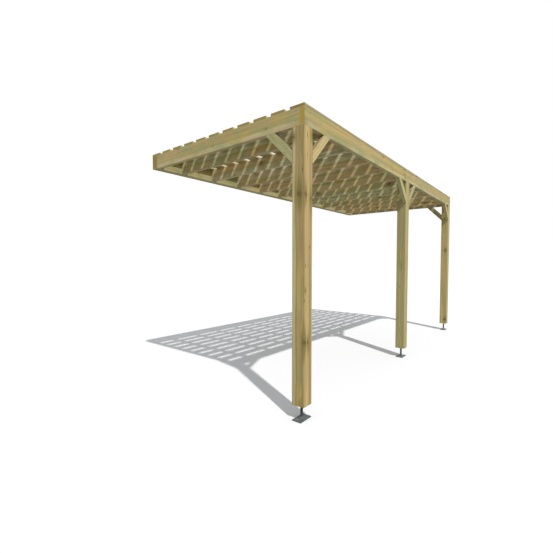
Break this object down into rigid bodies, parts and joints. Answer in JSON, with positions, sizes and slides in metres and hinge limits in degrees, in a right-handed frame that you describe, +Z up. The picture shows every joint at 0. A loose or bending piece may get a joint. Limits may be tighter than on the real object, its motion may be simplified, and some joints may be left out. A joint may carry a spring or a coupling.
{
  "type": "wall-mounted timber pergola",
  "caption": "Lean-to pergola: flat slatted roof on rafters, carried by a doubled wall plate at the back and by square braced posts on steel feet at the front.",
  "frame": {"origin": "centre of the wall plate's back face, which lies against the wall", "axes": "+X along the wall, to the right seen from the front; +Y into the wall; +Z up"},
  "size_m": [5.08, 2.145, 2.575],
  "materials": {
    "beam_timber": "planed, green-tinted pressure-treated softwood",
    "rafter_timber": "planed, green-tinted pressure-treated softwood",
    "slat_timber": "planed, green-tinted pressure-treated softwood",
    "post_timber": "planed, green-tinted pressure-treated softwood",
    "brace_timber": "planed, green-tinted pressure-treated softwood",
    "foot_steel": "dark grey coated steel"
  },
  "bodies": {
    "root": {"front_beam": "beam_timber", "wall_plate": "beam_timber", "back_beam": "beam_timber", "side_beam_left": "beam_timber", "side_beam_right": "beam_timber", "rafter_01": "rafter_timber", "rafter_02": "rafter_timber", "rafter_03": "rafter_timber", "rafter_04": "rafter_timber", "rafter_05": "rafter_timber", "rafter_06": "rafter_timber", "rafter_07": "rafter_timber", "rafter_08": "rafter_timber", "rafter_09": "rafter_timber", "rafter_10": "rafter_timber", "slat_01": "slat_timber", "slat_02": "slat_timber", "slat_03": "slat_timber", "slat_04": "slat_timber", "slat_05": "slat_timber", "slat_06": "slat_timber", "slat_07": "slat_timber", "slat_08": "slat_timber", "slat_09": "slat_timber", "slat_10": "slat_timber", "slat_11": "slat_timber", "post_left": "post_timber", "post_middle": "post_timber", "post_right": "post_timber", "brace_left_side": "brace_timber", "brace_left_front": "brace_timber", "brace_middle_left": "brace_timber", "brace_middle_right": "brace_timber", "brace_right_front": "brace_timber", "brace_right_side": "brace_timber", "foot_plate_left": "foot_steel", "foot_plate_middle": "foot_steel", "foot_plate_right": "foot_steel", "foot_rod_left": "foot_steel", "foot_rod_middle": "foot_steel", "foot_rod_right": "foot_steel"}
  },
  "joints": []
}
